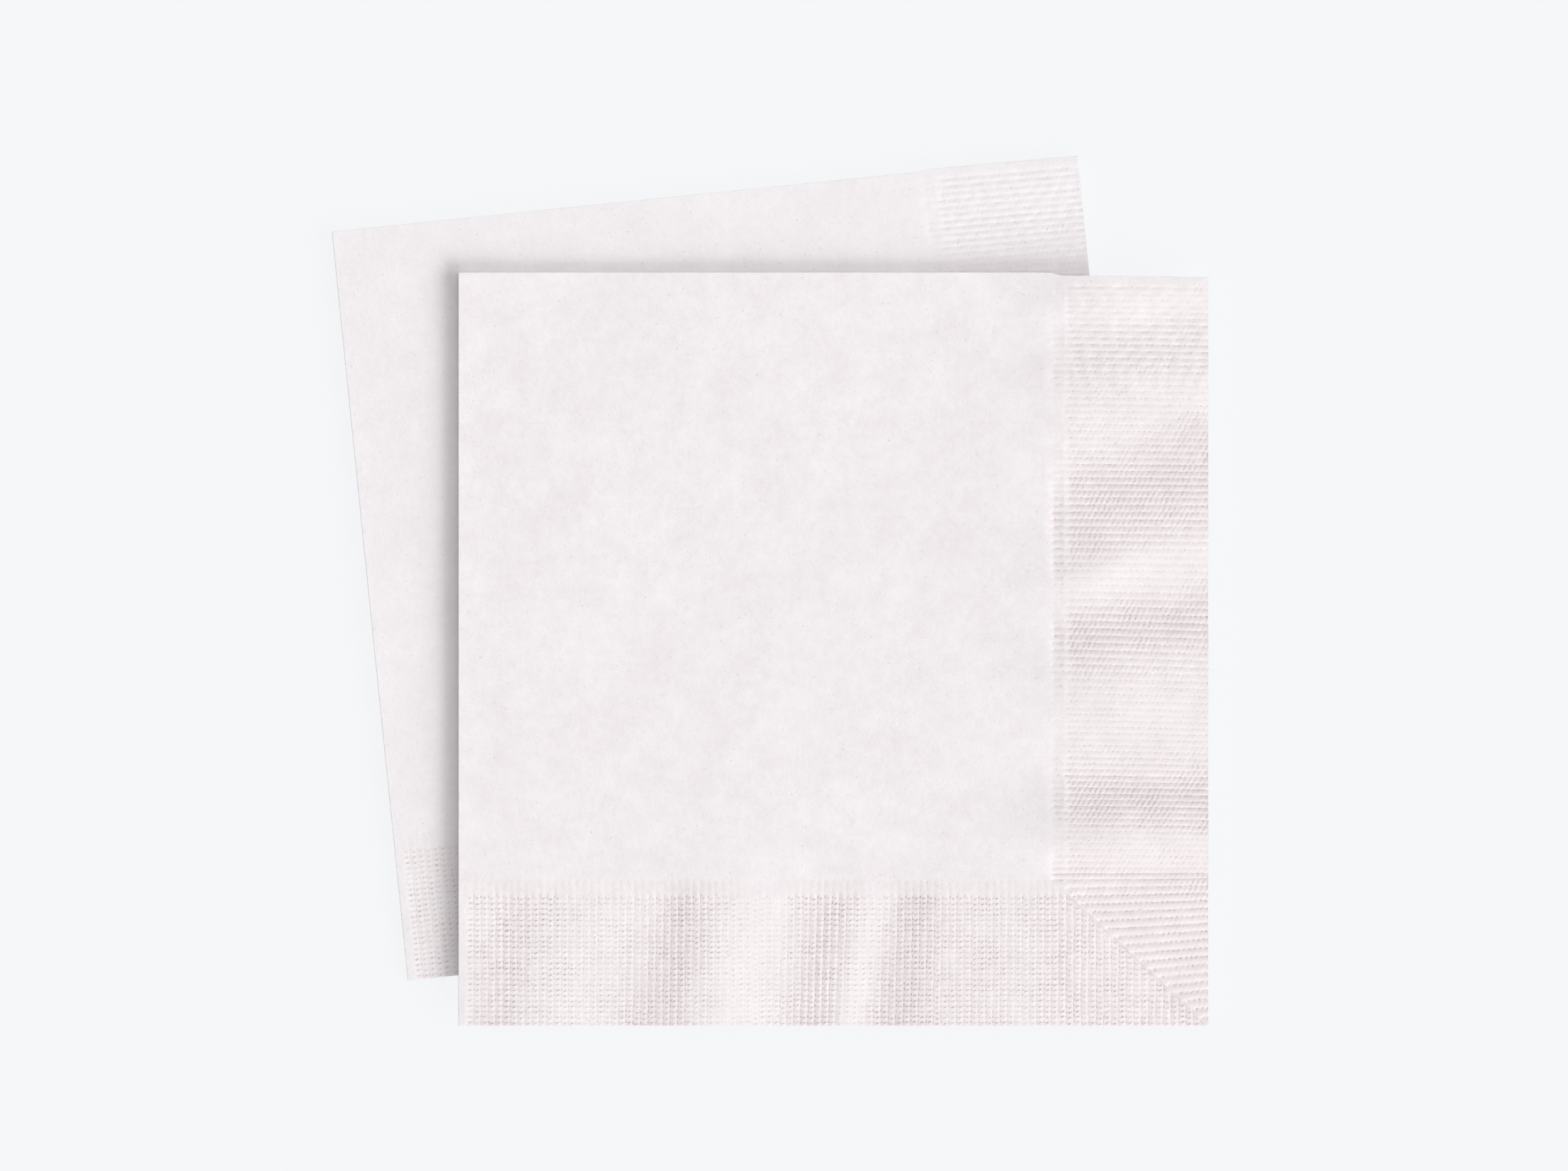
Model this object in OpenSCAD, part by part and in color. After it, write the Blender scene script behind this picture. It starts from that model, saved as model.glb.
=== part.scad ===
// Stack of two quarter-folded paper napkins with a coined border.
// Each napkin is one sheet, folded once at its far side and then once at its left side.
// The border along the free edges, at the right and at the near side, is pressed into fine
// ribs. They run out to the edge and meet on a mitre at the corner.

/* [Folded napkin] */
// Width of the folded napkin, from the last fold to the free edge
folded_w = 125; // [115:0.5:165]
// Length of the folded napkin, from the first fold to the free edge
folded_l = 125.5; // [115:0.5:165]
// Thickness of the soft sheet
sheet_t = 0.3; // [0.24:0.02:0.4]
// Space inside the first fold, between two leaves
leaf_gap = 0.25; // [0.15:0.05:0.6]
// Space inside the last fold, between the two folded pairs
core_gap = 0.25; // [0.15:0.05:0.8]

/* [Coined border] */
// Width of the border along the right free edge
border_right = 25.6; // [16:0.2:32]
// Width of the border along the near free edge
border_near = 23.8; // [16:0.2:32]
// Thickness of one leaf where the border is pressed
coined_t = 0.22; // [0.16:0.02:0.26]
// Space between two pressed leaves
coined_gap = 0.1; // [0.06:0.02:0.14]
// Distance from one rib to the next, fitted to the width of the border
rib_pitch = 1.2; // [1.1:0.05:2.4]
// Height of a rib above the groove beside it
rib_h = 0.24; // [0.1:0.02:0.3]
// Width of the run-in, from the soft panel at the inner line to the full ribs
run_in = 2; // [1:0.25:5]
// Length over which the border swells back to the soft sheet at a fold
fold_fade = 4; // [3:0.5:10]
// Height of the slack waves at the edge of the upper napkin
wave_h = 0.9; // [0.2:0.1:1.5]

/* [Stack] */
// Turn of the lower napkin, counter-clockwise from above
lower_turn = 5.8; // [-15:0.1:15]
// Shift of the middle of the lower napkin to the right
lower_shift_x = -15.15; // [-30:0.05:30]
// Shift of the middle of the lower napkin away from the near side
lower_shift_y = 13.5; // [-30:0.05:30]
// Room between the waves of the lower napkin and the napkin on it
wave_clearance = 0.05; // [0.02:0.01:0.1]

/* [Hidden] */
$fn = 48;
paper_color = [0.95, 0.925, 0.93];

// Slack waves along each border, as crests and troughs in order from the mitre to the fold.
// Each has its share of the way and its share of the height of the waves.
right_waves = [[0, 0], [0.07, 0.9], [0.2, 0.1], [0.33, 0.8], [0.445, 0.1], [0.545, 1], [0.675, 0.1],
    [0.8, 0.5], [0.9, 0]];
near_waves = [[0.02, 0], [0.2, 0.6], [0.28, 0.3], [0.335, 0.8], [0.44, 0], [0.57, 1], [0.695, 0.1],
    [0.835, 0.8], [0.98, 0]];

// Levels of the four leaves above the underside, soft in the panel and pressed in the border
leaves = 4;
leaf_spaces = [0, leaf_gap, leaf_gap + core_gap, 2 * leaf_gap + core_gap];
function soft_z(leaf) = leaf * sheet_t + leaf_spaces[leaf];
function pressed_z(leaf) = leaf * (coined_t + coined_gap);
napkin_h = soft_z(leaves - 1) + sheet_t;
pressed_h = pressed_z(leaves - 1) + coined_t + rib_h;
lower_wave_h = max(0, min(wave_h, napkin_h - pressed_h - wave_clearance));

// Plan of one napkin about its middle
x_edge = folded_w / 2;
y_edge = -folded_l / 2;
x_inner = x_edge - border_right;
y_inner = y_edge + border_near;
x_turn = -folded_w / 2 + napkin_h / 2;
y_bend = folded_l / 2 - sheet_t - leaf_gap / 2;
// Distances from the axis of the last fold to the faces and the middle of a folded pair
pair_r = core_gap / 2;
pair_mid_r = pair_r + sheet_t + leaf_gap / 2;

// The two sides of the border. A place on a side is the distance s from the outer corner
// along the edge, and the share f of the way from the inner line out to the edge.
RIGHT = 0;
NEAR = 1;
widths = [border_right, border_near];
corner_runs = [border_near, border_right];
runs = [y_bend - y_edge, x_edge - x_turn];
// The mitre crosses as many ribs on one side as on the other, so that they meet on it.
// Rib lines are the crests and the grooves, and plain skin has cells of three ribs.
cell_ribs = 3;
cell = 2 * cell_ribs;
corner_cells = round(border_near / rib_pitch / cell_ribs);
corner_ribs = cell_ribs * corner_cells;
function line_step(side) = corner_runs[side] / corner_ribs / 2;
function last_line(side) = cell * floor((runs[side] / line_step(side) - 2) / cell) + 1;
function line_s(side, line) = line == last_line(side) ? runs[side] : line * line_step(side);
function cell_count(side) = (last_line(side) - 1) / cell + 1;
function cell_line(side, c) = min(cell * c, last_line(side));

function plan(side, s, f) =
    side == RIGHT ? [x_inner + f * border_right, y_edge + s] : [x_edge - s, y_inner - f * border_near];
function mitre_f(side, s) = max(0, 1 - s / corner_runs[side]);
// Share of the pressing: none at the inner line and at the folds
function pressing(side, s, f) =
    min(1, f * widths[side] / run_in) * min(1, (runs[side] - s) / fold_fade);

// Share of the height of the waves at s, eased from each crest or trough to the next
function eased(waves, way, i) =
    let (part = (way - waves[i][0]) / (waves[i + 1][0] - waves[i][0]))
    waves[i][1] + (waves[i + 1][1] - waves[i][1]) * (1 - cos(180 * part)) / 2;
function slack(side, s) =
    let (waves = side == RIGHT ? right_waves : near_waves)
    let (way = (s - corner_runs[side]) / (runs[side] - corner_runs[side]))
    way <= waves[0][0] || way >= waves[len(waves) - 1][0]
        ? 0
        : eased(waves, way, max([for (i = [0 : len(waves) - 2]) if (waves[i][0] <= way) i]));

// Height of the underside (face 0) or the upper side (face 1) of a leaf in the border
function leaf_face_z(leaf, face, side, s, f, wave) =
    let (soft = soft_z(leaf) + face * sheet_t)
    let (pressed = pressed_z(leaf) + face * coined_t)
    soft + (pressed - soft + wave * slack(side, s) * f) * pressing(side, s, f);
function rib_z(side, line, f) = (line % 2) * rib_h * pressing(side, line_s(side, line), f);

// Triangles between a row of two points and a row of two or more, without empty ones
function stitched(a, b) =
    let (m = len(b) - 1)
    let (h = floor(m / 2))
    [for (t = concat(
        [for (i = [0 : 1 : h - 1]) [a[0], b[i], b[i + 1]]],
        [[a[0], b[h], a[1]]],
        [for (i = [h : 1 : m - 1]) [a[1], b[i], b[i + 1]]]))
        if (t[0] != t[1] && t[1] != t[2] && t[2] != t[0]) t];
function turned(faces, over) =
    over ? [for (face = faces) [for (i = [0 : len(face) - 1]) face[(len(face) - i) % len(face)]]] : faces;

// The pressed border of one leaf: an L of rib lines, with the ribs on the outermost leaf.
// Each skin has three rows of points: at the inner line or the mitre, at the end of the
// run-in, and at the free edge.
module pressed_leaf(leaf, wave) {
    ribbed = leaf == leaves - 1;
    rows = 3;
    per_cell = ribbed ? cell : 1;

    function row_f(side, s, row) =
        let (f = mitre_f(side, s))
        [f, f + (1 - f) * run_in / widths[side], 1][row];
    function skin_point(face, side, line, row) =
        let (s = line_s(side, line))
        let (f = row_f(side, s, row))
        let (rib = ribbed && face == 1 ? rib_z(side, line, f) : 0)
        concat(plan(side, s, f), leaf_face_z(leaf, face, side, s, f, wave) + rib);

    // The upper skin counts its own lines k, and the lower skin has one for each cell c
    function upper_line(side, k) = ribbed ? k : cell_line(side, k);
    function last_upper(side) = ribbed ? last_line(side) : cell_count(side);
    function cell_upper(side, c) = min(per_cell * c, last_upper(side));
    points = [
        for (side = [RIGHT, NEAR], k = [0 : last_upper(side)], row = [0 : rows - 1])
            skin_point(1, side, upper_line(side, k), row),
        for (side = [RIGHT, NEAR], c = [0 : cell_count(side)], row = [0 : rows - 1])
            skin_point(0, side, cell_line(side, c), row)
    ];

    // Both sides share the points of the mitre, and all rows meet in the outer corner
    near_upper = rows * (last_upper(RIGHT) + 1);
    lower = near_upper + rows * (last_upper(NEAR) + 1);
    near_lower = rows * (cell_count(RIGHT) + 1);
    function shared(side, row, at, corner) = side == RIGHT || row == 0 && at <= corner;
    function up(side, k, row) =
        k == 0 ? 0
        : rows * k + row + (shared(side, row, k, per_cell * corner_cells) ? 0 : near_upper);
    function low(side, c, row) =
        c == 0 ? lower
        : lower + rows * c + row + (shared(side, row, c, corner_cells) ? 0 : near_lower);
    function up_pair(side, k, row) = [up(side, k, row), up(side, k + 1, row)];
    function low_pair(side, c, row) = [low(side, c, row), low(side, c + 1, row)];
    function up_run(side, c, row) =
        [for (k = [cell_upper(side, c) : cell_upper(side, c + 1)]) up(side, k, row)];

    upper_skin = [for (side = [RIGHT, NEAR], k = [0 : last_upper(side) - 1], row = [0 : rows - 2])
        each turned(stitched(up_pair(side, k, row), up_pair(side, k, row + 1)), side == RIGHT)];
    lower_skin = [for (side = [RIGHT, NEAR], c = [0 : cell_count(side) - 1], row = [0 : rows - 2])
        each turned(stitched(low_pair(side, c, row), low_pair(side, c, row + 1)), side == NEAR)];
    free_edge = [for (side = [RIGHT, NEAR], c = [0 : cell_count(side) - 1])
        each turned(stitched(low_pair(side, c, rows - 1), up_run(side, c, rows - 1)), side == NEAR)];
    inner_end = [for (side = [RIGHT, NEAR], c = [corner_cells : cell_count(side) - 1])
        each turned(stitched(low_pair(side, c, 0), up_run(side, c, 0)), side == RIGHT)];
    fold_ends = [for (side = [RIGHT, NEAR])
        each turned([[
            for (row = [1 : rows - 1]) low(side, cell_count(side), row),
            for (row = [rows - 1 : -1 : 0]) up(side, last_upper(side), row),
            low(side, cell_count(side), 0)
        ]], side == NEAR)];

    polyhedron(points, concat(upper_skin, lower_skin, free_edge, inner_end, fold_ends), convexity = 12);
}

// Section through the two leaves of a pair: distance from the last fold's axis, place along the length
module leaf_section(from_y) {
    for (r = [pair_r, pair_r + sheet_t + leaf_gap])
        translate([r, from_y])
            square([sheet_t, y_bend - from_y]);
}

// Section through the first fold, where the two leaves of a pair turn into each other
module bend_section() {
    outer_r = leaf_gap / 2 + sheet_t;
    translate([pair_mid_r, y_bend])
        intersection() {
            difference() {
                circle(outer_r);
                circle(leaf_gap / 2);
            }
            translate([-outer_r, 0])
                square([2 * outer_r, outer_r]);
        }
}

// The last fold, which carries both leaves of the pair and their bend round to the other pair
module last_fold() {
    rotate([-90, 0, 0])
        rotate_extrude(angle = 180, start = 90) {
            leaf_section(y_edge);
            bend_section();
        }
}

// The soft panel and the first fold of one pair
module soft_pair() {
    rotate([0, 90, 0]) {
        linear_extrude(x_inner - x_turn)
            leaf_section(y_inner);
        linear_extrude(x_edge - x_turn)
            bend_section();
    }
}

module napkin(wave) {
    translate([x_turn, 0, napkin_h / 2]) {
        last_fold();
        for (upper = [0, 1])
            mirror([0, 0, upper])
                soft_pair();
    }
    for (leaf = [0 : leaves - 1])
        pressed_leaf(leaf, wave);
}

// The origin lies under the middle of the box round both napkins
reach_x = (folded_w * cos(lower_turn) + folded_l * abs(sin(lower_turn))) / 2;
reach_y = (folded_l * cos(lower_turn) + folded_w * abs(sin(lower_turn))) / 2;
mid_x = (min(-folded_w / 2, lower_shift_x - reach_x) + max(folded_w / 2, lower_shift_x + reach_x)) / 2;
mid_y = (min(-folded_l / 2, lower_shift_y - reach_y) + max(folded_l / 2, lower_shift_y + reach_y)) / 2;

module bottom_napkin() {
    color(paper_color)
        translate([lower_shift_x - mid_x, lower_shift_y - mid_y, 0])
            rotate([0, 0, lower_turn])
                napkin(lower_wave_h);
}

module top_napkin() {
    color(paper_color)
        translate([-mid_x, -mid_y, napkin_h])
            napkin(wave_h);
}

bottom_napkin();
top_napkin();
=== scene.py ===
# Two paper napkins from a stack, each quarter-folded from one sheet, laid one on the other.
# Lengths in the napkins' own sections are millimetres, as a folding machine is set.
import math

import bmesh
import bpy
import numpy as np
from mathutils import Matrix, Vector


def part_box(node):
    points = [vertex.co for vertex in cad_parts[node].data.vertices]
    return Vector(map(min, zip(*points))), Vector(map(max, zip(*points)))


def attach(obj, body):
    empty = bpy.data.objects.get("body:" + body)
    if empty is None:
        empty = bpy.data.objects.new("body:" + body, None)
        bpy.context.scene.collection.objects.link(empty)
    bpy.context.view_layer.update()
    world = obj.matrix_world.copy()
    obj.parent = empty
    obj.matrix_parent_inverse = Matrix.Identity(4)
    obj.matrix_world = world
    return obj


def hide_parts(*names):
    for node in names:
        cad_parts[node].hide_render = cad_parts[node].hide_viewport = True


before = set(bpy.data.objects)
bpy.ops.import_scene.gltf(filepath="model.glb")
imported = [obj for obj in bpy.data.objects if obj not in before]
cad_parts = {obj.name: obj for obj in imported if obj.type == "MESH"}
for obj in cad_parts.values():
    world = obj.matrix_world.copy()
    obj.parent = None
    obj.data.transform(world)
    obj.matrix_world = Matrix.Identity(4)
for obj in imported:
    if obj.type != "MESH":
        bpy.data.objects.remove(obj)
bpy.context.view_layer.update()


# Bottom napkin
# One sheet of soft tissue, 25 cm square, folded in half at the far side and then in half
# again at the left, so that four leaves lie on each other. Engraved steel rolls have coined
# the border along the free edges: they press the leaves flat into ribs and fine beads.
MM = 0.001
top_lowest, top_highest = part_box("top_napkin")
bottom_lowest, bottom_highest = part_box("bottom_napkin")
folded_w = (top_highest[0] - top_lowest[0]) / MM
folded_l = (top_highest[1] - top_lowest[1]) / MM
napkin_h = top_lowest[2] / MM

# Heights of the faces of the four leaves, soft in the panel and pressed at the free edge
leaves = 4
sheet_t = 0.3
leaf_gap = 0.25
core_gap = napkin_h - leaves * sheet_t - 2 * leaf_gap
soft_levels = np.cumsum((0, sheet_t, leaf_gap, sheet_t, core_gap, sheet_t, leaf_gap, sheet_t))
coined_t = 0.22
coined_gap = 0.15
coined_rise = 0.25
coined_levels = np.cumsum((coined_rise, coined_t) + (leaves - 1) * (coined_gap, coined_t))

x_edge = folded_w / 2
y_edge = -folded_l / 2
border_right = 26.1
border_near = 24.3
x_inner = x_edge - border_right
y_inner = y_edge + border_near
x_turn = -folded_w / 2 + napkin_h / 2
y_bend = folded_l / 2 - sheet_t - leaf_gap / 2

# The border has two sides, which meet on a mitre. A place on a side is the distance s from
# the outer corner along the free edge, and the distance d in from the free edge. A value
# in two parts is for the right side and the near side, unless it is a range.
RIGHT = 0
NEAR = 1
widths = (border_right, border_near)
mitre_runs = (border_near, border_right)

# Places along each side, and the number of ribs from the corner to them
rib_places = ((0, border_near, 53, 88, 124.75), (0, border_right, 123.7))
rib_numbers = ((0, 18, 46, 75, 108), (0, 21, 101))


def eased(part):
    return (1 - np.cos(np.pi * np.clip(part, 0, 1))) / 2


def read_off(pairs, place):
    """The value at a place, from (place, value) pairs"""
    return np.interp(place, *zip(*pairs))


def rib_place(side, rib):
    return np.interp(rib, rib_numbers[side], rib_places[side])


# The crests and troughs of the slack border, from the corner on: place at the inner line,
# place at the free edge, share of the height
slack_waves = (
    ((26, 25, 0), (34, 32.5, 1.25), (43, 42, 0), (59, 63, 0.9), (69, 73, 0.2),
     (75, 84, 0.83), (91, 102, 0.1), (107.5, 109, 0.5), (114.5, 117.5, 0.25),
     (124, 125, 0.85)),
    ((0, 0, 0.22), (8, 8, 0.22), (24, 24, 0.45), (36, 36, 0.7), (44, 46, 0.75),
     (52, 56, 0.1), (58.5, 61.5, 0.45), (66, 70, 0), (81.5, 85.5, 0.9), (91.5, 97, 0.1),
     (110.5, 113.5, 0.52), (120, 123.5, 0.14)),
)


def slack(side, s, f):
    """Height of the slack waves at s, at the share f of the way from the inner line outwards"""
    height = np.zeros(np.broadcast(s, f).shape)
    waves = slack_waves[side]
    for (inner, outer, level), (next_inner, next_outer, next_level) in zip(waves, waves[1:]):
        start = inner + (outer - inner) * f
        end = next_inner + (next_outer - next_inner) * f
        part = (s - start) / (end - start)
        height = np.where(part >= 0, level + (next_level - level) * eased(part), height)
    return height


def patchy(s, d):
    """The beads come out well in places and hardly at all in others, some millimetres apart"""
    along = np.sin(s / 2.3 + 2 * np.sin(d / 4.1))
    across = np.sin(d / 2.9 + 1.5 * np.sin(s / 5.3))
    return 1 + 0.7 * along * across


# How much of the pressing comes out along each side, in ribs and beads: place, factor
pressing_shares = (
    ((20, 1.35), (31, 1.3), (36, 1), (39, 1.05), (44, 1), (95, 1), (105, 0.85), (115, 0.55),
     (123, 0.38)),
    ((20, 1.3), (34, 1.05), (62, 1), (75, 0.92), (104, 0.92), (112, 0.85)),
)

# A fall of the slack border over two millimetres that counts as steep, and the slopes for
# which a napkin's pressing is given: rising, level and falling away from the corner
steep_fall = 0.22
slopes = (-0.8, 0, 1)

# The narrow hatched strip along the inner line is pressed well in some places only: place,
# share. Between it and the ribs the paper is all but plain.
hatch_shares = (
    ((24, 0.9), (33, 0.3), (38, 0.9), (43, 0.3), (56, 0.3), (60, 0.9), (65, 0.9), (68, 0.2),
     (74, 0.8), (90, 0.8), (97, 0.2), (105, 0.2), (109, 0.8), (114, 0.7), (118, 0.3),
     (125, 0.3)),
    ((24, 0.35), (125, 0.35)),
)
strip_lines = (0, 0.2, 1.7, 1.95, 2.3, 2.7)


def relief(side, s, d, pressing):
    """Share of the ribs' height: deep where the slack border falls away, shallow on a rise"""
    width = widths[side]
    f = 1 - d / width
    fall = slack(side, s - 1, f) - slack(side, s + 1, f)
    depth = np.interp(fall / steep_fall, slopes, pressing[side])
    depth = depth * read_off(pressing_shares[side], s)
    hatched = read_off(hatch_shares[side], s) * (0.4 + 0.6 * patchy(s, 0))
    plain = np.clip(patchy(3 * s, 0) - 0.7, 0.05, 0.8)
    strip = (0, hatched, hatched, plain * min(hatched, 1), plain, 1)
    return depth * np.interp(width - d, strip_lines, strip)


# How well the beads come out: on the right side where the pressing is firm, hardly at the
# mitre and faintly again at the fold, on the near side everywhere
right_beading = 0.6
right_beading_onset = 0.5
right_beading_at_mitre = ((18, 0.2), (27, 1))
right_beading_at_fold = ((106, 0), (116, 0.15))
near_beading = 0.34
near_beading_gain = 0.68
near_beading_shares = ((45, 1.05), (60, 1.1), (68, 1), (102, 1), (110, 1.35))


def beading_at(side, s, d, depth):
    """How well the beads come out, besides the depth of the pressing"""
    if side == RIGHT:
        firm = np.clip((depth - right_beading_onset) / (1 - right_beading_onset), 0, 1)
        beading = right_beading * firm * read_off(right_beading_at_mitre, s)
        return (beading + read_off(right_beading_at_fold, s)) * patchy(s, d)
    beading = (near_beading + near_beading_gain * depth) * (0.6 + 0.4 * patchy(s, d))
    return beading * read_off(near_beading_shares, s)


class Sheet:
    """The surface of one folded sheet, knitted together from rows of points"""

    def __init__(self):
        self.points = []
        self.faces = []

    def place(self, x, y, z, cut=0, depth=0, rib=0, bead=0, beading=0):
        """Adds a row of points, with the marks that the paper needs there"""
        start = len(self.points)
        marks = (cut, depth, rib, bead, beading)
        columns = [np.ravel(values) for values in np.broadcast_arrays(x, y, z, *marks)]
        self.points.extend(np.column_stack(columns).tolist())
        return list(range(start, len(self.points)))

    def apart(self, a, b):
        return sum((p - q) ** 2 for p, q in zip(self.points[a][:3], self.points[b]))

    def knit(self, rows):
        for row, other in zip(rows, rows[1:]):
            if len(row) == len(other):
                self.faces.extend(zip(row, row[1:], other[1:], other))
            else:
                self.zip_up(row, other)

    def zip_up(self, row, other):
        """Joins two lines whose points don't match, by the shorter way each time"""
        i = 0
        j = 0
        while i < len(row) - 1 or j < len(other) - 1:
            along_row = j == len(other) - 1 or (
                i < len(row) - 1
                and self.apart(row[i + 1], other[j]) <= self.apart(row[i], other[j + 1])
            )
            if along_row:
                self.faces.append((row[i], row[i + 1], other[j]))
                i += 1
            else:
                self.faces.append((row[i], other[j + 1], other[j]))
                j += 1


# The grooves between the ribs, how firm they are along each side (place, factor), and the
# range in which one differs from the next
groove_h = (0.18, 0.11)
rib_firmness = (
    ((0, 1.2), (9, 1.2), (16, 1.2), (26, 1.1), (30, 1), (37, 0.8), (45, 0.9), (51, 0.72),
     (60, 1.15), (67, 1.15), (75, 0.85), (80, 1.3), (89, 1.25), (98, 0.8), (102, 0.8),
     (110, 1.3), (121, 3)),
    ((30, 0.87), (38, 0.75), (50, 0.65), (55, 0.85), (58, 1), (64, 1), (68, 0.9), (84, 0.85),
     (88, 0.9), (100, 0.85), (112, 1.05), (118, 1.17), (124, 1.1)),
)
rib_strengths = (0.8, 1.2)

# Share of the pitch from the bottom of a groove to the foot of its flank
rib_flank = (0.24, 0.33)

# A groove comes and goes along its length, in waves within a range of lengths. How much it
# does so depends on its place along the side.
fade_lengths = (2.2, 4.2)
fade_shares = (((88, 0.15), (107, 0.45)), ((88, 0.15), (107, 0.15)))

# The ribs run out before the mitre, on each side of a narrow plain seam. A rib this near
# to the inner corner ends in it.
rib_end = (0.8, 0.4)
mitre_seam = 0.2
shortest_rib = 0.1
near_corner = 0.01

# The beads stand in rows across the ribs, a little aslant on the near side, and differ in
# size within a range. They keep clear of the free edge and of the hatched strip.
bead_pitch = 0.9
bead_h = (0.1, 0.1)
bead_slants = (0, 0.4)
bead_sizes = (0.6, 1.2)
beside_bead = 0.1
clear_of_edge = 0.1
clear_of_strip = 2.8

# No groove or bead is pressed in deeper than this
deepest = 0.2

# Columns of points along a rib, in from the free edge, and their distances from the inner
# line in the hatched strip. Inside the fold they are far apart.
first_column = 0.2
strip_w = 3.0
strip_columns = (2.7, 2.3, 1.95, 1.65, 1.15, 0.6, 0.2, 0)
plain_columns = (0, 3, 10)
plain_strip_columns = (3, 1, 0)


def border_rows(sheet, side, level, fine, pressing, beads):
    """Rows of points along the rib lines of one side, from the corner to the fold"""
    width = widths[side]
    if fine:
        main = np.arange(first_column, width - strip_w, bead_pitch / 3)
        columns = np.concatenate(([0], main, width - np.array(strip_columns)))
        lines = ((0, 1), (rib_flank[side], 0), (1 - rib_flank[side], 0))
    else:
        columns = np.concatenate((plain_columns, width - np.array(plain_strip_columns)))
        lines = ((0, 1), (0.5, 0))
    rows = []
    last_rib = rib_numbers[side][-1]
    for rib in range(last_rib + 1):
        stagger = 2 * rib if side == RIGHT else 0
        fades = np.sin(math.tau * (columns / beads.uniform(*fade_lengths) + beads.uniform(0, 1)))
        at_rib = rib_place(side, rib)
        fading = 1 + read_off(fade_shares[side], at_rib) * fades
        strength = beads.uniform(*rib_strengths) * fading * read_off(rib_firmness[side], at_rib)
        size = beads.uniform(*bead_sizes, len(columns))
        for line, (phase, groove) in enumerate(lines if rib < last_rib else lines[:1]):
            s = float(rib_place(side, rib + phase))
            d = columns
            if s < mitre_runs[side] - near_corner:
                reach = s * width / mitre_runs[side] - mitre_seam
                if reach > shortest_rib:
                    d = np.append(columns[columns < reach - shortest_rib], reach)
                else:
                    d = columns[:1]
            depth = relief(side, s, d, pressing)
            to_mitre = s * width / mitre_runs[side] - d if s < mitre_runs[side] else width + 0 * d
            shown = eased(to_mitre / rib_end[side])

            bead = (np.arange(len(d)) + stagger + (line if side == RIGHT else 0)) / 3
            beading = beading_at(side, s, d, depth) if fine else 0
            clear = (d > clear_of_edge) & (d < width - clear_of_strip) & (rib < last_rib)
            beading = np.where(clear, beading, 0)
            dent = np.where(np.isclose(bead % 1, 0), 1, beside_bead) * size[: len(d)]
            dent = dent * (beside_bead if groove else 1)
            grooved = groove_h[side] * groove * strength[: len(d)] * depth
            cut = -np.minimum(grooved + bead_h[side] * dent * beading, deepest) * shown
            if rib == last_rib:
                marks = (0, 0, rib - 0.5, bead, 0)
            else:
                # This depth also sets how much painted shade the border gets, in its tint and in
                # its grooves, and where its painted highlight goes
                coined = depth * (0.4 + 0.6 * shown)
                slant = bead_slants[side] * phase
                marks = (cut, coined, rib + phase, bead + slant, beading * shown)
            if side == RIGHT:
                rows.append(sheet.place(x_edge - d, y_edge + s, level, *marks))
            else:
                rows.append(sheet.place(x_edge - s, y_edge + d, level, *marks))
    return rows


def mitre_row(side, fine):
    """The row that reaches the inner corner, counted from the outer corner"""
    ribs = rib_numbers[side][1]
    return ribs * (3 if fine else 2)


# Distances between points in the panel and at its rim, and in the border at the folds
panel_step = 3.0
panel_inset = 1.5
fold_step = 1.6


def leaf_skin(sheet, leaf, face, fine, pressing, beads):
    """One face of a leaf. Returns its line at the first fold, at the last fold, and its edge"""
    level = soft_levels[2 * leaf + face]
    xs = np.linspace(x_turn, x_inner - panel_inset, int((x_inner - x_turn) / panel_step))
    ys = np.linspace(y_bend, y_inner + panel_inset, int((y_bend - y_inner) / panel_step))
    panel = [sheet.place(xs, y, level) for y in ys]
    sheet.knit(panel)

    right = border_rows(sheet, RIGHT, level, fine, pressing, beads)
    near = border_rows(sheet, NEAR, level, fine, pressing, beads)
    sheet.knit(right)
    sheet.knit(near)
    at_right = mitre_row(RIGHT, fine)
    at_near = mitre_row(NEAR, fine)
    right_mitre = [row[-1] for row in right[: at_right + 1]]
    near_mitre = [row[-1] for row in near[: at_near + 1]]
    sheet.zip_up(right_mitre, near_mitre)

    x_out = np.append(np.arange(x_inner, x_edge - 1, fold_step), x_edge)
    y_out = np.append(np.arange(y_inner, y_edge + 1, -fold_step), y_edge)
    fold_end = sheet.place(x_out, y_bend, level)
    turn_end = sheet.place(x_turn, y_out, level)
    sheet.zip_up(right[-1][::-1], fold_end)
    sheet.zip_up(near[-1][::-1], turn_end)

    panel_side = [row[-1] for row in panel] + panel[-1][-2::-1]
    inner_line = (
        [fold_end[0]]
        + [row[-1] for row in right[: at_right - 1 : -1]]
        + [row[-1] for row in near[at_near + 1 :]]
        + [turn_end[0]]
    )
    sheet.zip_up(panel_side, inner_line)

    fold_line = panel[0] + fold_end
    turn_line = [row[0] for row in panel] + turn_end
    free_edge = (
        [fold_end[-1]]
        + [row[0] for row in right[::-1]]
        + [row[0] for row in near[1:]]
        + [turn_end[-1]]
    )
    return fold_line, turn_line, free_edge


# The way round a fold: rows of points, and how full the bend is
pair_steps = 8
turn_steps = 12
first_step = 0.25
round_bend = 3
crisp_bend = 28


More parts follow.
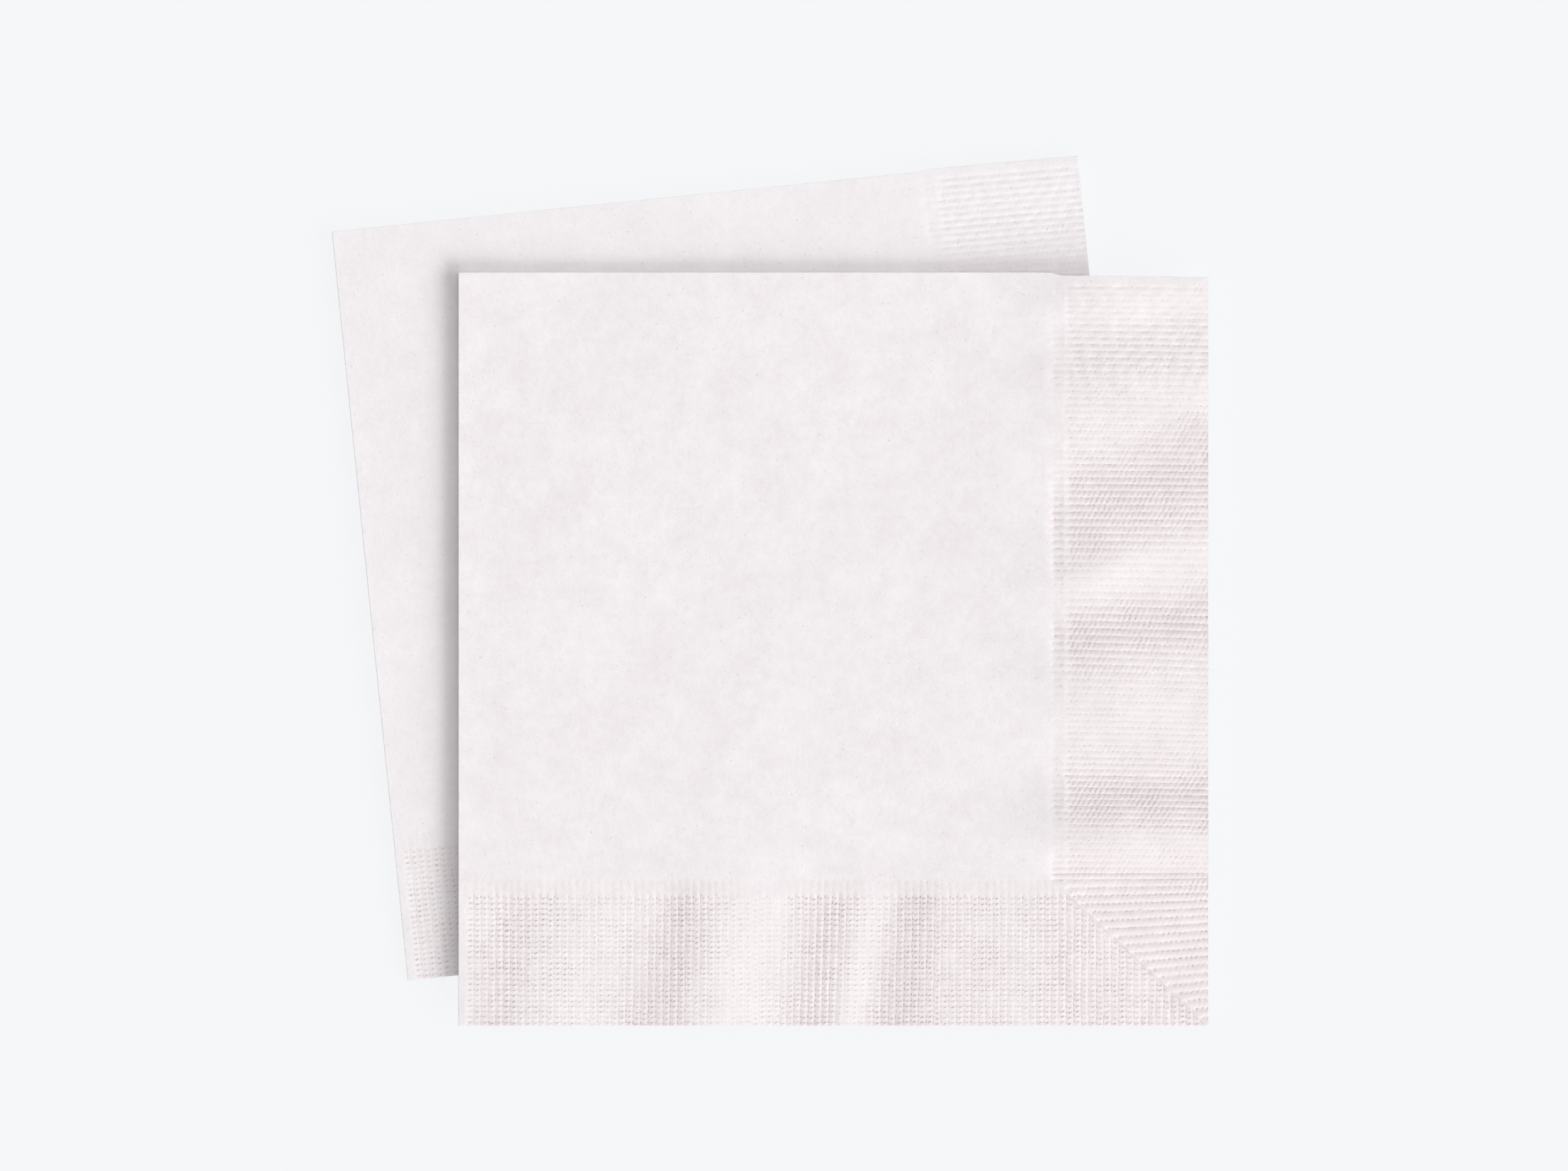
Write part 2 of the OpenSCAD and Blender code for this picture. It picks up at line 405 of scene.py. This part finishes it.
def bend(sheet, starts, ends, reach, direction, steps, crispness):
    """Rows of points round a fold, from the line of one leaf to the line of another"""
    rows = [starts]
    for step in (first_step, *range(1, steps), steps - first_step):
        angle = math.pi * step / steps
        power = 2 / crispness[0 if 2 * step <= steps else 1]
        out = math.sin(angle) ** power
        up = -math.copysign(abs(math.cos(angle)) ** power, math.cos(angle))
        row = []
        for start, end in zip(starts, ends):
            x, y, low = sheet.points[start][:3]
            high = sheet.points[end][2]
            arm = abs(high - low) / 2 if reach is None else reach
            z = (low + high) / 2 + up * (high - low) / 2
            row += sheet.place(x + direction[0] * arm * out, y + direction[1] * arm * out, z)
        rows.append(row)
    rows.append(ends)
    sheet.knit(rows)
    return rows


def folded_side(sheet, faces, pressing, beads):
    """One side of the paper, over all four leaves and round both folds"""
    on_top = (leaves - 1, 1)
    skins = [
        leaf_skin(sheet, leaf, face, (leaf, face) == on_top, pressing, beads)
        for leaf, face in enumerate(faces)
    ]
    fold, turn, edge = zip(*skins)
    outside = faces[0] == 0
    pair_reach = leaf_gap / 2 + (sheet_t if outside else 0)
    outer_reach = napkin_h / 2 - (0 if outside else sheet_t)
    inner_reach = core_gap / 2 + (0 if outside else sheet_t)
    far = (0, 1)
    left = (-1, 0)
    low_shape = (round_bend, round_bend)
    high_shape = (crisp_bend, round_bend)
    turn_shape = (round_bend, crisp_bend)
    low_pair = bend(sheet, fold[0], fold[1], pair_reach, far, pair_steps, low_shape)
    high_pair = bend(sheet, fold[3], fold[2], pair_reach, far, pair_steps, high_shape)
    outer = bend(sheet, turn[0], turn[3], outer_reach, left, turn_steps, turn_shape)
    inner = bend(sheet, turn[1], turn[2], inner_reach, left, turn_steps, turn_shape)

    # The corner, where the first fold itself turns round the last fold
    low_end = [row[0] for row in low_pair][1:-1]
    high_end = [row[0] for row in high_pair][1:-1]
    turned = bend(sheet, low_end, high_end, None, left, turn_steps, turn_shape)
    sheet.knit([[row[0] for row in outer], [row[0] for row in turned]])
    sheet.knit([[row[-1] for row in turned], [row[0] for row in inner]])
    return (
        *edge,
        [row[-1] for row in low_pair],
        [row[-1] for row in high_pair],
        [row[-1] for row in outer],
        [row[-1] for row in inner],
    )


def swelling(x, y):
    """The soft panel swells and sinks by turns, some centimetres apart"""
    return np.sin(x / 11 + 0.6 * np.sin(y / 17)) * np.sin(y / 14 + 0.5 * np.sin(x / 13) + 1.2)


# The stack of leaves thins out from the soft panel to the coined edge over this distance,
# half of it on each side of the inner line
thinning = 25

# How far the ribs wander along each side on their way out to the free edge: place, distance
rib_drifts = (
    ((0, 0), (7, 0.7), (14, 1.05), (21, 0.6), (28, -0.25), (42, -0.45), (56, -0.6),
     (63, -0.75), (71, -0.45), (85, -0.15), (106, -0.35), (125, -0.3)),
    ((0, 0), (30, 0.15), (41, 0.05), (48, 0.4), (62, 0.7), (69, 0.45), (76, 0), (87, 0.2),
     (97, 0.3), (105, 0.15), (119, 0), (125, 0)),
)
drift_onset = 1.3

# The leaves swell a little at the folds. The far end of the right border draws in.
fold_swell = 0.03
fold_swell_run = 1.2
draw_run = 9
draw_start = 0.5
draw_w = 2.5


def napkin_points(points, wave, undulation, drawn_in):
    """The folded sheet with its slack waves, its wandering ribs and its drawn-in fold"""
    x, y, z, cut = np.array(points)[:, :4].T
    out_right = x - x_inner
    out_near = y_inner - y
    thinned = eased(0.5 + np.maximum(out_right, out_near) / thinning)
    stack = z / napkin_h
    z = z + thinned * (np.interp(z, soft_levels, coined_levels) - z)

    lift = np.zeros(len(x))
    shift_x = np.zeros(len(x))
    shift_y = np.zeros(len(x))
    for side, s, out in ((RIGHT, y - y_edge, out_right), (NEAR, x_edge - x, out_near)):
        f = np.clip(out / widths[side], 0, 1)
        share = eased(0.5 + out / thinning)
        lift += wave[side] * slack(side, s, f) * share * (share + (1 - share) * stack)
        reach = np.clip(s / mitre_runs[side], 1e-6, 1) * widths[side]
        on_the_way = np.clip(1 - (widths[side] - out) / reach, 0, 1)
        drift = read_off(rib_drifts[side], s) * on_the_way ** drift_onset
        if side == RIGHT:
            shift_y += drift
        else:
            shift_x -= drift
    over_border = eased((out_right + draw_start) / draw_w)
    drawn = drawn_in * over_border * eased((y - y_bend + draw_run) / draw_run)
    from_turn = x + folded_w / 2
    from_bend = folded_l / 2 - y
    at_folds = np.exp(-from_turn / fold_swell_run) + np.exp(-from_bend / fold_swell_run)
    swell = undulation * (swelling(x, y) - 1) + fold_swell * at_folds
    z = z * (1 + (1 - thinned) * swell)
    return np.column_stack((x + shift_x, y + shift_y - drawn, np.maximum(z + lift + cut, 0)))


def middle(lowest, highest):
    """The middle of a box in plan"""
    return [(low + high) / 2 / MM for low, high in zip(lowest[:2], highest[:2])]


# Points this close together, in metres, are one. Edges are sharp from this angle on.
same_place = 1e-7
sharp_from = math.radians(60)


def napkin_object(name, centre, turn, base, wave, undulation, drawn_in, pressing, seed):
    """A whole napkin as one closed surface, turned and laid at its place"""
    sheet = Sheet()
    beads = np.random.default_rng(seed)
    outside = folded_side(sheet, (0, 1, 0, 1), pressing, beads)
    inside = folded_side(sheet, (1, 0, 1, 0), pressing, beads)
    for outer_edge, inner_edge in zip(outside, inside):
        sheet.zip_up(outer_edge, inner_edge)

    points = napkin_points(sheet.points, wave, undulation, drawn_in)
    marks = np.array(sheet.points)[:, 4:]
    c = math.cos(turn)
    s = math.sin(turn)
    placed = np.column_stack((
        centre[0] + c * points[:, 0] - s * points[:, 1],
        centre[1] + s * points[:, 0] + c * points[:, 1],
        base + points[:, 2],
    )) * MM
    mesh = bpy.data.meshes.new(name)
    mesh.from_pydata(placed.tolist(), [], sheet.faces)
    coined = mesh.attributes.new("coined", "FLOAT", "POINT")
    coined.data.foreach_set("value", marks[:, 0])
    rib_marks = mesh.attributes.new("rib_place", "FLOAT_VECTOR", "POINT")
    rib_marks.data.foreach_set("vector", marks[:, 1:].ravel())
    shape = bmesh.new()
    shape.from_mesh(mesh)
    bmesh.ops.remove_doubles(shape, verts=shape.verts, dist=same_place)
    bmesh.ops.recalc_face_normals(shape, faces=shape.faces)
    for face in shape.faces:
        face.smooth = True
    shape.to_mesh(mesh)
    shape.free()
    mesh.set_sharp_from_angle(angle=sharp_from)
    napkin = bpy.data.objects.new(name, mesh)
    bpy.context.scene.collection.objects.link(napkin)
    return napkin


def add_node(tree, kind, place, **inputs):
    node = tree.nodes.new(kind)
    node.location = place
    for key, value in inputs.items():
        node.inputs[key].default_value = value
    return node


def worked_out(tree, place, operation, *terms):
    """The output of a Math node, whose terms are numbers or other outputs"""
    node = add_node(tree, "ShaderNodeMath", place)
    node.operation = operation
    for socket, term in zip(node.inputs, terms):
        if isinstance(term, bpy.types.NodeSocket):
            tree.links.new(term, socket)
        else:
            socket.default_value = term
    return node.outputs["Value"]


def hump(tree, place, along, sharpness):
    """One rounded hump at each whole number along the way, from 0 to 1"""
    turns = worked_out(tree, place, "MULTIPLY", along, math.tau)
    swing = worked_out(tree, (place[0] + 160, place[1]), "COSINE", turns)
    half = worked_out(tree, (place[0] + 320, place[1]), "MULTIPLY_ADD", swing, 0.5, 0.5)
    return worked_out(tree, (place[0] + 480, place[1]), "POWER", half, sharpness)


def wandering(tree, place, chance, wander, mark):
    """A mark, moved to and fro by up to half of the wander"""
    moved = worked_out(tree, place, "MULTIPLY_ADD", chance, wander, mark)
    return worked_out(tree, (place[0], place[1] - 100), "SUBTRACT", moved, wander / 2)


def fitted(tree, place, value, old, new):
    """A value on an old range, brought to a new one and kept inside it"""
    node = add_node(tree, "ShaderNodeMapRange", place)
    node.inputs["From Min"].default_value, node.inputs["From Max"].default_value = old
    node.inputs["To Min"].default_value, node.inputs["To Max"].default_value = new
    tree.links.new(value, node.inputs["Value"])
    return node.outputs["Result"]


def tinted(tree, place, blend, amount, colour, under):
    """Colour laid over what lies under it, by an amount"""
    node = tree.nodes.new("ShaderNodeMix")
    node.data_type = "RGBA"
    node.blend_type = blend
    node.location = place
    node.inputs["B"].default_value = (*colour, 1)
    tree.links.new(amount, node.inputs["Factor"])
    tree.links.new(under, node.inputs["A"])
    return node.outputs["Result"]


# The paper is tinted darker and pinker where it is pressed, partly its own colour and partly
# painted shade. Shade is painted into the grooves and, most of all, into the beads' dents, and a
# painted highlight onto the beaded border where its pressing is shallow, on the rises that face
# the lamps. These colours lie over that of the soft paper.
# Painted shade mixed with the pressed paper's own tint: darker and pinker with the depth of
# pressing, most on the bands that fall away from the lamps
coined_and_shade_colour = (1, 0.976, 0.969)
# Colour of the painted highlight
painted_highlight_colour = (0.97, 0.93, 0.937)
# Painted shade in the grooves between the ribs
groove_shade_colour = (0.9, 0.865, 0.855)
# Painted shade in the dents of the beads
bead_shade_colour = (0.73, 0.685, 0.68)
speck_colour = (0.82, 0.81, 0.81)

# Shares of a rib's or a bead's pitch by which the grooves and the rows of beads wander
groove_wander = 0.4
bead_wander = 0.7
row_shift = 0.4

# Sizes of the noises, per metre: the clouds of pulp, the unevenness of the pressing, the
# specks and the fibres
cloud_scale = 150.0
uneven_scale = 420.0
speck_scale = 2100.0
fibre_scale = 900.0

# The range of the unevenness noise that counts and the strengths of pressing that it gives,
# and where in their own noise the specks begin and are full
uneven_range = (0.35, 0.65)
uneven_pressing = (0.4, 1.4)
speck_range = (0.3, 0.22)

# How narrow the grooves, the beads and the crests between the grooves are, and how far a
# groove is pressed between the beads and besides at each bead
groove_sharpness = 7
bead_sharpness = 4
crest_sharpness = 1.8
groove_least = 0.3
groove_at_bead = 1.3

# A painted highlight pales the beaded border where it is coined less than this, on the rises that
# face the lamps
highlight_limit = 0.75
highlight_share = 0.9

# Heights of the fibres, and of the pressing that is finer than the sheet's own points
fibre_h = 0.15
fine_pressing_h = 0.04


def napkin_paper(name, thin, thick):
    """Soft uncoated tissue: near white with a faint pink cast, mottled, with fine fibres, painted
    shade in its pressed border and a painted highlight on its rises
    """
    material = bpy.data.materials.new(name)
    material.use_nodes = True
    tree = material.node_tree
    link = tree.links.new
    shader = tree.nodes["Principled BSDF"]
    shader.inputs["Roughness"].default_value = 0.92
    shader.inputs["Specular IOR Level"].default_value = 0.15
    place = add_node(tree, "ShaderNodeTexCoord", (-1900, 0)).outputs["Object"]

    def noise(at, scale, detail, roughness):
        sizes = {"Scale": scale, "Detail": detail, "Roughness": roughness}
        node = add_node(tree, "ShaderNodeTexNoise", at, **sizes)
        link(place, node.inputs["Vector"])
        return node.outputs

    # The mottling of the pulp
    clouds = noise((-1500, 500), cloud_scale, 8.0, 0.84)
    tint = add_node(tree, "ShaderNodeValToRGB", (-1200, 500))
    tint.color_ramp.elements[0].position = 0.3
    tint.color_ramp.elements[0].color = (*thin, 1)
    tint.color_ramp.elements[1].position = 0.7
    tint.color_ramp.elements[1].color = (*thick, 1)
    link(clouds["Fac"], tint.inputs["Fac"])

    # Where the border is coined, and how far along the ribs and the rows of beads a point is
    coined_mark = add_node(tree, "ShaderNodeAttribute", (-1500, 200))
    coined_mark.attribute_name = "coined"
    coined = coined_mark.outputs["Fac"]
    rib_marks = add_node(tree, "ShaderNodeAttribute", (-1900, -300))
    rib_marks.attribute_name = "rib_place"
    marks = add_node(tree, "ShaderNodeSeparateXYZ", (-1700, -300))
    link(rib_marks.outputs["Vector"], marks.inputs["Vector"])
    rib, row, beading = marks.outputs
    uneven = noise((-2100, -700), uneven_scale, 3.0, 0.6)
    chances = add_node(tree, "ShaderNodeSeparateColor", (-1900, -700))
    link(uneven["Color"], chances.inputs["Color"])
    along = wandering(tree, (-1650, -100), chances.outputs["Red"], groove_wander, rib)
    across = wandering(tree, (-1650, -500), chances.outputs["Green"], bead_wander, row)
    next_rib = worked_out(tree, (-1800, -1000), "ADD", rib, 0.5)
    own_rib = worked_out(tree, (-1650, -1000), "ROUND", next_rib)
    own_chance = tree.nodes.new("ShaderNodeTexWhiteNoise")
    own_chance.noise_dimensions = "1D"
    link(own_rib, own_chance.inputs["W"])
    own_shift = own_chance.outputs["Value"]
    across = worked_out(tree, (-1400, -1000), "MULTIPLY_ADD", own_shift, row_shift, across)

    # Grooves between the ribs, broken into dashes by the beads, and beads on their crests, used
    # both as bumps and as painted shade
    groove = hump(tree, (-1500, -100), along, groove_sharpness)
    flank = hump(tree, (-1500, -300), along, 1)
    dent = hump(tree, (-1500, -500), across, bead_sharpness)
    crest = worked_out(tree, (-850, -300), "SUBTRACT", 1, flank)
    crest = worked_out(tree, (-850, -400), "POWER", crest, crest_sharpness)
    dashes = worked_out(tree, (-850, -100), "MULTIPLY_ADD", dent, groove_at_bead, groove_least)
    dashed = worked_out(tree, (-700, -100), "MULTIPLY", groove, dashes)
    grooves = worked_out(tree, (-550, -100), "MULTIPLY", dashed, coined)
    on_crest = worked_out(tree, (-700, -400), "MULTIPLY", dent, crest)
    dents = worked_out(tree, (-550, -400), "MULTIPLY", on_crest, beading)
    chance = chances.outputs["Blue"]
    strength = fitted(tree, (-1650, -800), chance, uneven_range, uneven_pressing)
    lined = worked_out(tree, (-400, -100), "MULTIPLY", grooves, strength)
    dotted = worked_out(tree, (-400, -400), "MULTIPLY", dents, strength)
    pressed = worked_out(tree, (-250, -200), "ADD", lined, dotted)

    # The colour, layer by layer: the mottled paper, then painted shade and a painted highlight,
    # then specks
    specks = noise((-1500, -800), speck_scale, 1.0, 0.5)
    speck = fitted(tree, (-1200, -800), specks["Fac"], speck_range, (0, 1))
    # Painted highlight: paler where the beaded border is pressed shallowly, on the rises that
    # face the lamps
    rising = worked_out(tree, (-850, 300), "SUBTRACT", highlight_limit, coined)
    highlight_amount = worked_out(tree, (-700, 300), "MULTIPLY", beading, rising)
    highlight_amount = worked_out(tree, (-700, 200), "MULTIPLY", highlight_amount, highlight_share)
    colour = tint.outputs["Color"]
    # Painted shade with the pressed paper's own tint, by the depth of pressing
    colour = tinted(tree, (-500, 400), "MULTIPLY", coined, coined_and_shade_colour, colour)
    # Painted highlight laid over the paper
    colour = tinted(tree, (-300, 400), "MIX", highlight_amount, painted_highlight_colour, colour)
    # Painted shade in the grooves, deepest where the pressing is deep
    colour = tinted(tree, (-100, 400), "MULTIPLY", lined, groove_shade_colour, colour)
    # Painted shade in the beads' dents
    colour = tinted(tree, (100, 400), "MULTIPLY", dotted, bead_shade_colour, colour)
    colour = tinted(tree, (300, 400), "MULTIPLY", speck, speck_colour, colour)
    link(colour, shader.inputs["Base Color"])

    # Fibres and the finest of the pressing, too small for the sheet's own points
    fibres = noise((-1500, -1100), fibre_scale, 6.0, 0.7)
    fibre_bump = add_node(tree, "ShaderNodeBump", (-200, -800), Strength=0.5)
    fibre_bump.inputs["Distance"].default_value = fibre_h * MM
    link(fibres["Fac"], fibre_bump.inputs["Height"])
    rib_bump = add_node(tree, "ShaderNodeBump", (0, -300), Strength=1.0)
    rib_bump.inputs["Distance"].default_value = fine_pressing_h * MM
    rib_bump.invert = True
    link(pressed, rib_bump.inputs["Height"])
    link(fibre_bump.outputs["Normal"], rib_bump.inputs["Normal"])
    link(rib_bump.outputs["Normal"], shader.inputs["Normal"])
    return material


# Colours of this napkin's paper where the pulp is thin and thick, its place, the height of
# its slack waves, its swelling, how far its border draws in at the far fold, and how deep
# its ribs are pressed on rises, on the level and on falls
bottom_thin = (0.865, 0.829, 0.844)
bottom_thick = (0.945, 0.91, 0.925)
bottom_turn = math.radians(5.8)
bottom_centre = middle(bottom_lowest, bottom_highest)
bottom_wave = (0.3, 0.3)
bottom_undulation = 0.03
bottom_drawn_in = -0.3
bottom_pressing = ((0.45, 0.5, 0.6), (0.6, 0.65, 0.7))
bottom_seed = 5
bottom_paper = napkin_paper("bottom_napkin_paper", bottom_thin, bottom_thick)
bottom = napkin_object(
    "bottom_napkin_sheet", bottom_centre, bottom_turn, 0, bottom_wave, bottom_undulation,
    bottom_drawn_in, bottom_pressing, bottom_seed,
)
bottom.data.materials.append(bottom_paper)
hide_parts("bottom_napkin")
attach(bottom, "root")


# Top napkin
# The same sheet and the same fold. It lies straight, nearer and further right, and its
# border is slacker, with nothing on it to hold it flat.
top_thin = (0.853, 0.802, 0.814)
top_thick = (0.961, 0.921, 0.933)
top_centre = middle(top_lowest, top_highest)
top_wave = (1.35, 0.65)
top_undulation = 0.05
top_drawn_in = 0.5
top_pressing = ((0.5, 0.75, 1.05), (0.25, 0.75, 1.1))
top_seed = 11
top = napkin_object(
    "top_napkin_sheet", top_centre, 0, napkin_h, top_wave, top_undulation,
    top_drawn_in, top_pressing, top_seed,
)
top_paper = napkin_paper("top_napkin_paper", top_thin, top_thick)
top.data.materials.append(top_paper)
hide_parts("top_napkin")
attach(top, "root")


# Floor
# A plain sheet of white board, much larger than the napkins. To the camera it is one even
# cool white, with a faint shadow of the napkins on it.
floor_half = 1.5
floor_z = -0.00005
board_colour = (0.88, 0.89, 0.9, 1)
seen_white = (0.922, 0.934, 0.954, 1)
seen_share = 0.94
floor_mesh = bpy.data.meshes.new("floor")
floor_mesh.from_pydata(
    [(x * floor_half, y * floor_half, floor_z) for x, y in ((-1, -1), (1, -1), (1, 1), (-1, 1))],
    [], [(0, 1, 2, 3)],
)
floor = bpy.data.objects.new("floor", floor_mesh)
bpy.context.scene.collection.objects.link(floor)


def looked_at(tree):
    """1 for what the camera sees, directly or in a shine or through glass, and 0 for light"""
    rays = add_node(tree, "ShaderNodeLightPath", (-900, 300)).outputs
    shone = worked_out(tree, (-700, 300), "MAXIMUM", rays["Is Camera Ray"], rays["Is Glossy Ray"])
    return worked_out(tree, (-500, 300), "MAXIMUM", shone, rays["Is Transmission Ray"])


board = bpy.data.materials.new("white_board")
board.use_nodes = True
board_tree = board.node_tree
board_shader = board_tree.nodes["Principled BSDF"]
board_shader.inputs["Base Color"].default_value = board_colour
board_shader.inputs["Roughness"].default_value = 0.9
board_shader.inputs["Specular IOR Level"].default_value = 0.1
glow = add_node(board_tree, "ShaderNodeEmission", (-200, -300), Color=seen_white, Strength=1.0)
blend = add_node(board_tree, "ShaderNodeMixShader", (100, 100))
seen = worked_out(board_tree, (-300, 300), "MULTIPLY", looked_at(board_tree), seen_share)
board_tree.links.new(seen, blend.inputs["Fac"])
board_tree.links.new(board_shader.outputs["BSDF"], blend.inputs[1])
board_tree.links.new(glow.outputs["Emission"], blend.inputs[2])
board_out = board_tree.nodes["Material Output"]
board_tree.links.new(blend.outputs["Shader"], board_out.inputs["Surface"])
floor_mesh.materials.append(board)


# Light
# Two large soft lamps side by side, low at the right, one broad lamp overhead, and a dim
# pale room.
full_light = math.pi
low_height = math.radians(25)
low_spread = math.radians(34)
near_right_share = 0.28
near_right_bearing = math.radians(-44)
right_share = 0.19
right_bearing = math.radians(-6)
overhead_share = 0.33
overhead_height = math.radians(64)
overhead_bearing = math.radians(88)
overhead_spread = math.radians(70)
room_share = 0.18


def soft_lamp(name, share, bearing, height, spread):
    lamp = bpy.data.lights.new(name, "SUN")
    lamp.energy = share * full_light / math.sin(height)
    lamp.angle = spread
    thing = bpy.data.objects.new(name, lamp)
    thing.rotation_euler = (0, math.pi / 2 - height, bearing)
    bpy.context.scene.collection.objects.link(thing)


soft_lamp("near_right_lamp", near_right_share, near_right_bearing, low_height, low_spread)
soft_lamp("right_lamp", right_share, right_bearing, low_height, low_spread)
soft_lamp("overhead_lamp", overhead_share, overhead_bearing, overhead_height, overhead_spread)
room = bpy.data.worlds.new("room")
room.use_nodes = True
room_tree = room.node_tree
room_light = room_tree.nodes["Background"]
room_light.inputs["Color"].default_value = (1, 1, 1, 1)
room_light.inputs["Strength"].default_value = room_share
room_wall = add_node(room_tree, "ShaderNodeBackground", (0, -200), Color=seen_white, Strength=1.0)
room_blend = add_node(room_tree, "ShaderNodeMixShader", (200, 100))
room_tree.links.new(looked_at(room_tree), room_blend.inputs["Fac"])
room_tree.links.new(room_light.outputs["Background"], room_blend.inputs[1])
room_tree.links.new(room_wall.outputs["Background"], room_blend.inputs[2])
room_out = room_tree.nodes["World Output"]
room_tree.links.new(room_blend.outputs["Shader"], room_out.inputs["Surface"])
bpy.context.scene.world = room
bpy.context.scene.view_settings.view_transform = "Standard"


# Camera
# It looks straight down from far above, through a long lens.
image_w = 2213
image_h = 1652
px_per_mm = 8.456
top_middle_px = (1176, 915.5)
camera_height = 3.0
sensor_w = 36
far_clip = 20
aim_x = top_centre[0] + (image_w / 2 - top_middle_px[0]) / px_per_mm
aim_y = top_centre[1] - (image_h / 2 - top_middle_px[1]) / px_per_mm
camera = bpy.data.cameras.new("camera")
camera.sensor_width = sensor_w
camera.lens = sensor_w * camera_height / (image_w / px_per_mm * MM)
camera.clip_end = far_clip
eye = bpy.data.objects.new("camera", camera)
eye.location = (aim_x * MM, aim_y * MM, camera_height)
bpy.context.scene.collection.objects.link(eye)
bpy.context.scene.camera = eye
